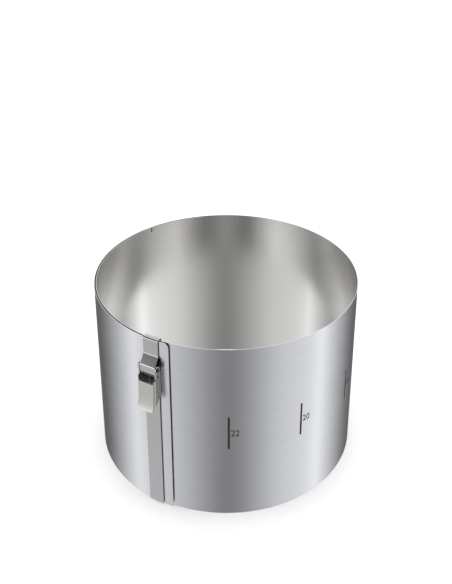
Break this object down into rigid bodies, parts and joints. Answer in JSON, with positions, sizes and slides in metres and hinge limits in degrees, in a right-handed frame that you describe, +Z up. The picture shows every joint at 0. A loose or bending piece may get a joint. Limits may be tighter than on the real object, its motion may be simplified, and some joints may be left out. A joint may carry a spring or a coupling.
{
  "type": "adjustable cake ring",
  "caption": "Tall springy steel band rolled to a cake ring, its overlap held by a strap over the rim with a folding clamp lever; the ring's size can be set.",
  "frame": {"origin": "middle of the ring, level with the band's lower edge", "axes": "+Z up along the ring's axis, -Y towards the viewer of the picture, +X to the right; the clamp stands front left"},
  "size_m": [0.2346, 0.2338, 0.1661],
  "materials": {
    "band_steel": "satin, brushed round the ring",
    "strap_steel": "satin grey",
    "lever_steel": "polished pressed sheet",
    "pin_steel": "plain"
  },
  "bodies": {
    "band_middle": {"band_length_15": "band_steel"},
    "outer_end": {"band_length_01": "band_steel", "clamp_strap": "strap_steel", "lever_pin": "pin_steel"},
    "lever": {"clamp_lever": "lever_steel"},
    "band_02": {"band_length_02": "band_steel"},
    "band_03": {"band_length_03": "band_steel"},
    "band_04": {"band_length_04": "band_steel"},
    "band_05": {"band_length_05": "band_steel"},
    "band_06": {"band_length_06": "band_steel"},
    "band_07": {"band_length_07": "band_steel"},
    "band_08": {"band_length_08": "band_steel"},
    "band_09": {"band_length_09": "band_steel"},
    "band_10": {"band_length_10": "band_steel"},
    "band_11": {"band_length_11": "band_steel"},
    "band_12": {"band_length_12": "band_steel"},
    "band_13": {"band_length_13": "band_steel"},
    "band_14": {"band_length_14": "band_steel"},
    "band_16": {"band_length_16": "band_steel"},
    "band_17": {"band_length_17": "band_steel"},
    "band_18": {"band_length_18": "band_steel"},
    "band_19": {"band_length_19": "band_steel"},
    "band_20": {"band_length_20": "band_steel"},
    "band_21": {"band_length_21": "band_steel"},
    "band_22": {"band_length_22": "band_steel"},
    "band_23": {"band_length_23": "band_steel"},
    "band_24": {"band_length_24": "band_steel"},
    "band_25": {"band_length_25": "band_steel"},
    "band_26": {"band_length_26": "band_steel"},
    "band_27": {"band_length_27": "band_steel"},
    "band_28": {"band_length_28": "band_steel"}
  },
  "joints": [
    {"name": "lever_swing", "type": "hinge", "parent": "outer_end", "child": "lever", "pos_m": [-0.06343, -0.10456, 0.1408], "axis": [-0.8526, 0.5225, 0], "range_deg": [0, 120]},
    {"name": "band_bend_15", "type": "hinge", "parent": "band_middle", "child": "band_16", "pos_m": [0.10619, -0.04942, 0], "axis": [0, 0, -1], "range_deg": [-3.95, 8.79]},
    {"name": "band_bend_01", "type": "hinge", "parent": "band_02", "child": "outer_end", "pos_m": [-0.07831, -0.08793, 0], "axis": [0, 0, 1], "range_deg": [-3.86, 8.59]},
    {"name": "band_bend_02", "type": "hinge", "parent": "band_03", "child": "band_02", "pos_m": [-0.10151, -0.05917, 0], "axis": [0, 0, 1], "range_deg": [-3.87, 8.61]},
    {"name": "band_bend_03", "type": "hinge", "parent": "band_04", "child": "band_03", "pos_m": [-0.11463, -0.02466, 0], "axis": [0, 0, 1], "range_deg": [-3.87, 8.62]},
    {"name": "band_bend_04", "type": "hinge", "parent": "band_05", "child": "band_04", "pos_m": [-0.1164, 0.0122, 0], "axis": [0, 0, 1], "range_deg": [-3.88, 8.64]},
    {"name": "band_bend_05", "type": "hinge", "parent": "band_06", "child": "band_05", "pos_m": [-0.10666, 0.04776, 0], "axis": [0, 0, 1], "range_deg": [-3.89, 8.65]},
    {"name": "band_bend_06", "type": "hinge", "parent": "band_07", "child": "band_06", "pos_m": [-0.08639, 0.07853, 0], "axis": [0, 0, 1], "range_deg": [-3.89, 8.66]},
    {"name": "band_bend_07", "type": "hinge", "parent": "band_08", "child": "band_07", "pos_m": [-0.0576, 0.10149, 0], "axis": [0, 0, 1], "range_deg": [-3.9, 8.68]},
    {"name": "band_bend_08", "type": "hinge", "parent": "band_09", "child": "band_08", "pos_m": [-0.02313, 0.11437, 0], "axis": [0, 0, 1], "range_deg": [-3.9, 8.69]},
    {"name": "band_bend_09", "type": "hinge", "parent": "band_10", "child": "band_09", "pos_m": [0.01361, 0.11593, 0], "axis": [0, 0, 1], "range_deg": [-3.91, 8.71]},
    {"name": "band_bend_10", "type": "hinge", "parent": "band_11", "child": "band_10", "pos_m": [0.049, 0.10603, 0], "axis": [0, 0, 1], "range_deg": [-3.92, 8.72]},
    {"name": "band_bend_11", "type": "hinge", "parent": "band_12", "child": "band_11", "pos_m": [0.07955, 0.08565, 0], "axis": [0, 0, 1], "range_deg": [-3.92, 8.74]},
    {"name": "band_bend_12", "type": "hinge", "parent": "band_13", "child": "band_12", "pos_m": [0.10226, 0.05683, 0], "axis": [0, 0, 1], "range_deg": [-3.93, 8.75]},
    {"name": "band_bend_13", "type": "hinge", "parent": "band_14", "child": "band_13", "pos_m": [0.11491, 0.02241, 0], "axis": [0, 0, 1], "range_deg": [-3.94, 8.77]},
    {"name": "band_bend_14", "type": "hinge", "parent": "band_middle", "child": "band_14", "pos_m": [0.11625, -0.01422, 0], "axis": [0, 0, 1], "range_deg": [-3.94, 8.78]},
    {"name": "band_bend_16", "type": "hinge", "parent": "band_16", "child": "band_17", "pos_m": [0.08571, -0.07976, 0], "axis": [0, 0, -1], "range_deg": [-3.96, 8.81]},
    {"name": "band_bend_17", "type": "hinge", "parent": "band_17", "child": "band_18", "pos_m": [0.05686, -0.10223, 0], "axis": [0, 0, -1], "range_deg": [-3.96, 8.82]},
    {"name": "band_bend_18", "type": "hinge", "parent": "band_18", "child": "band_19", "pos_m": [0.02249, -0.11464, 0], "axis": [0, 0, -1], "range_deg": [-3.97, 8.84]},
    {"name": "band_bend_19", "type": "hinge", "parent": "band_19", "child": "band_20", "pos_m": [-0.01401, -0.11578, 0], "axis": [0, 0, -1], "range_deg": [-3.98, 8.85]},
    {"name": "band_bend_20", "type": "hinge", "parent": "band_20", "child": "band_21", "pos_m": [-0.04905, -0.10555, 0], "axis": [0, 0, -1], "range_deg": [-3.98, 8.87]},
    {"name": "band_bend_21", "type": "hinge", "parent": "band_21", "child": "band_22", "pos_m": [-0.07916, -0.08497, 0], "axis": [0, 0, -1], "range_deg": [-3.99, 8.88]},
    {"name": "band_bend_22", "type": "hinge", "parent": "band_22", "child": "band_23", "pos_m": [-0.10139, -0.0561, 0], "axis": [0, 0, -1], "range_deg": [-4, 8.9]},
    {"name": "band_bend_23", "type": "hinge", "parent": "band_23", "child": "band_24", "pos_m": [-0.11357, -0.02177, 0], "axis": [0, 0, -1], "range_deg": [-4, 8.91]},
    {"name": "band_bend_24", "type": "hinge", "parent": "band_24", "child": "band_25", "pos_m": [-0.1145, 0.01461, 0], "axis": [0, 0, -1], "range_deg": [-4.01, 8.93]},
    {"name": "band_bend_25", "type": "hinge", "parent": "band_25", "child": "band_26", "pos_m": [-0.10411, 0.04946, 0], "axis": [0, 0, -1], "range_deg": [-4.02, 8.94]},
    {"name": "band_bend_26", "type": "hinge", "parent": "band_26", "child": "band_27", "pos_m": [-0.08344, 0.07936, 0], "axis": [0, 0, -1], "range_deg": [-4.02, 8.96]},
    {"name": "band_bend_27", "type": "hinge", "parent": "band_27", "child": "band_28", "pos_m": [-0.05453, 0.10135, 0], "axis": [0, 0, -1], "range_deg": [-4.03, 8.98]}
  ],
  "couplings": [
    {"joint": "band_bend_01", "follows": "band_bend_15", "ratio": 0.97719},
    {"joint": "band_bend_02", "follows": "band_bend_15", "ratio": 0.97878},
    {"joint": "band_bend_03", "follows": "band_bend_15", "ratio": 0.98038},
    {"joint": "band_bend_04", "follows": "band_bend_15", "ratio": 0.98198},
    {"joint": "band_bend_05", "follows": "band_bend_15", "ratio": 0.98359},
    {"joint": "band_bend_06", "follows": "band_bend_15", "ratio": 0.9852},
    {"joint": "band_bend_07", "follows": "band_bend_15", "ratio": 0.98682},
    {"joint": "band_bend_08", "follows": "band_bend_15", "ratio": 0.98845},
    {"joint": "band_bend_09", "follows": "band_bend_15", "ratio": 0.99008},
    {"joint": "band_bend_10", "follows": "band_bend_15", "ratio": 0.99172},
    {"joint": "band_bend_11", "follows": "band_bend_15", "ratio": 0.99336},
    {"joint": "band_bend_12", "follows": "band_bend_15", "ratio": 0.99501},
    {"joint": "band_bend_13", "follows": "band_bend_15", "ratio": 0.99667},
    {"joint": "band_bend_14", "follows": "band_bend_15", "ratio": 0.99833},
    {"joint": "band_bend_16", "follows": "band_bend_15", "ratio": 1.0017},
    {"joint": "band_bend_17", "follows": "band_bend_15", "ratio": 1.0034},
    {"joint": "band_bend_18", "follows": "band_bend_15", "ratio": 1.005},
    {"joint": "band_bend_19", "follows": "band_bend_15", "ratio": 1.0067},
    {"joint": "band_bend_20", "follows": "band_bend_15", "ratio": 1.0084},
    {"joint": "band_bend_21", "follows": "band_bend_15", "ratio": 1.0101},
    {"joint": "band_bend_22", "follows": "band_bend_15", "ratio": 1.0118},
    {"joint": "band_bend_23", "follows": "band_bend_15", "ratio": 1.0136},
    {"joint": "band_bend_24", "follows": "band_bend_15", "ratio": 1.0153},
    {"joint": "band_bend_25", "follows": "band_bend_15", "ratio": 1.017},
    {"joint": "band_bend_26", "follows": "band_bend_15", "ratio": 1.0188},
    {"joint": "band_bend_27", "follows": "band_bend_15", "ratio": 1.0205}
  ]
}
